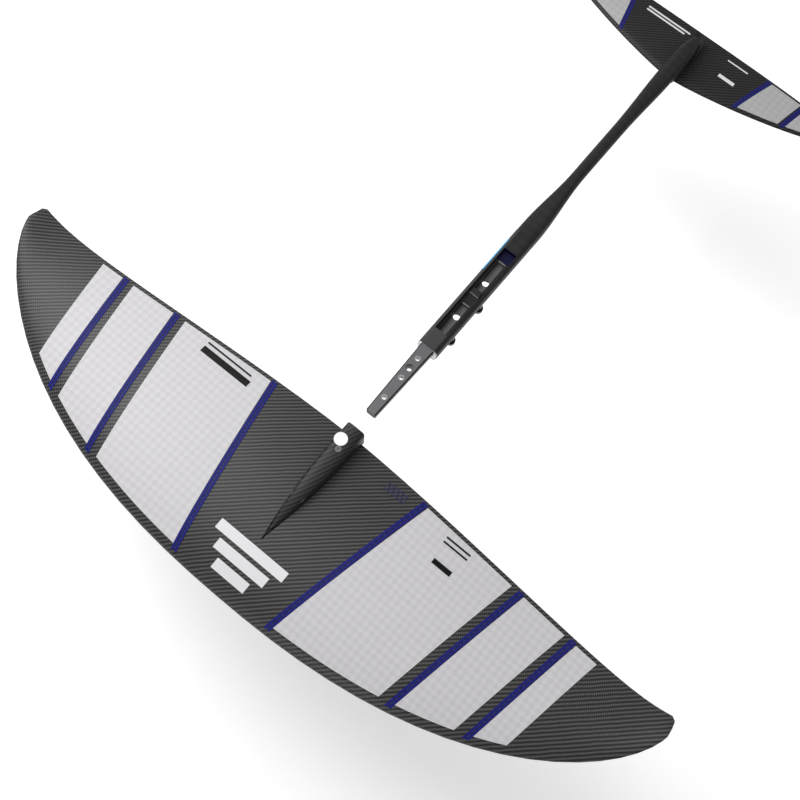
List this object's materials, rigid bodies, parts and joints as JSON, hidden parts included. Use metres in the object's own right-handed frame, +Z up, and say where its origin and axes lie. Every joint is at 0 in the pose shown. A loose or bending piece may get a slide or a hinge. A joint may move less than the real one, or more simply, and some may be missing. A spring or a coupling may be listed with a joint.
{
  "type": "hydrofoil wing set",
  "caption": "Hydrofoil front wing drawn off a tapered fuselage spigot, fuselage with mast seat, tail wing beneath its rear end, loose mast screws below the seat.",
  "frame": {"origin": "midway between the two mast screw holes, on the floor of the mast seat's slots", "axes": "+X starboard along the span, +Y forward toward the leading edges, +Z up"},
  "size_m": [0.8968, 0.9157, 0.0957],
  "materials": {
    "wing_carbon": "glossy carbon twill",
    "tail_carbon": "glossy carbon twill",
    "boss_carbon": "glossy carbon twill",
    "fuselage_carbon": "satin black",
    "foam": "closed cell foam",
    "white_film": "satin",
    "grey_film": "satin",
    "blue_film": "satin",
    "cyan_film": "satin",
    "anodised": "matt anodised",
    "bare_alu": "machined",
    "black_steel": "black oxide",
    "brass": "machined"
  },
  "bodies": {
    "fuselage": {"fuselage_block": "fuselage_carbon", "fuselage_boom": "fuselage_carbon", "nose_plate": "bare_alu", "spigot": "anodised", "spigot_pins": "anodised", "spigot_inserts": "bare_alu", "seat_plates": "anodised", "side_stripe": "cyan_film", "tail_inserts": "brass", "tail_pad": "tail_carbon", "tail_skin_top": "tail_carbon", "tail_skin_bottom": "tail_carbon", "tail_core": "foam", "tail_panels": "grey_film", "tail_stripes": "blue_film", "tail_marks": "white_film", "tail_screws": "black_steel"},
    "front_wing": {"wing_skin_top": "wing_carbon", "wing_skin_bottom": "wing_carbon", "wing_core": "foam", "wing_boss": "boss_carbon", "socket_sleeve": "anodised", "boss_insert": "anodised", "boss_cap": "white_film", "wing_panels": "white_film", "wing_stripes": "blue_film", "wing_emblem": "white_film", "wing_marks": "fuselage_carbon", "wing_badge": "blue_film"},
    "mast_screws": {"mast_screws": "black_steel"},
    "wing_screws": {"wing_screws": "black_steel"}
  },
  "joints": [
    {"name": "wing_slide", "type": "slide", "parent": "fuselage", "child": "front_wing", "axis": [0, -1, 0], "range_m": [0, 0.1218]},
    {"name": "mast_screw_lift", "type": "slide", "parent": "fuselage", "child": "mast_screws", "axis": [0, 0, 1], "range_m": [0, 0.07]},
    {"name": "wing_screw_lift", "type": "slide", "parent": "front_wing", "child": "wing_screws", "axis": [0, 0, 1], "range_m": [0, 0.05]}
  ]
}
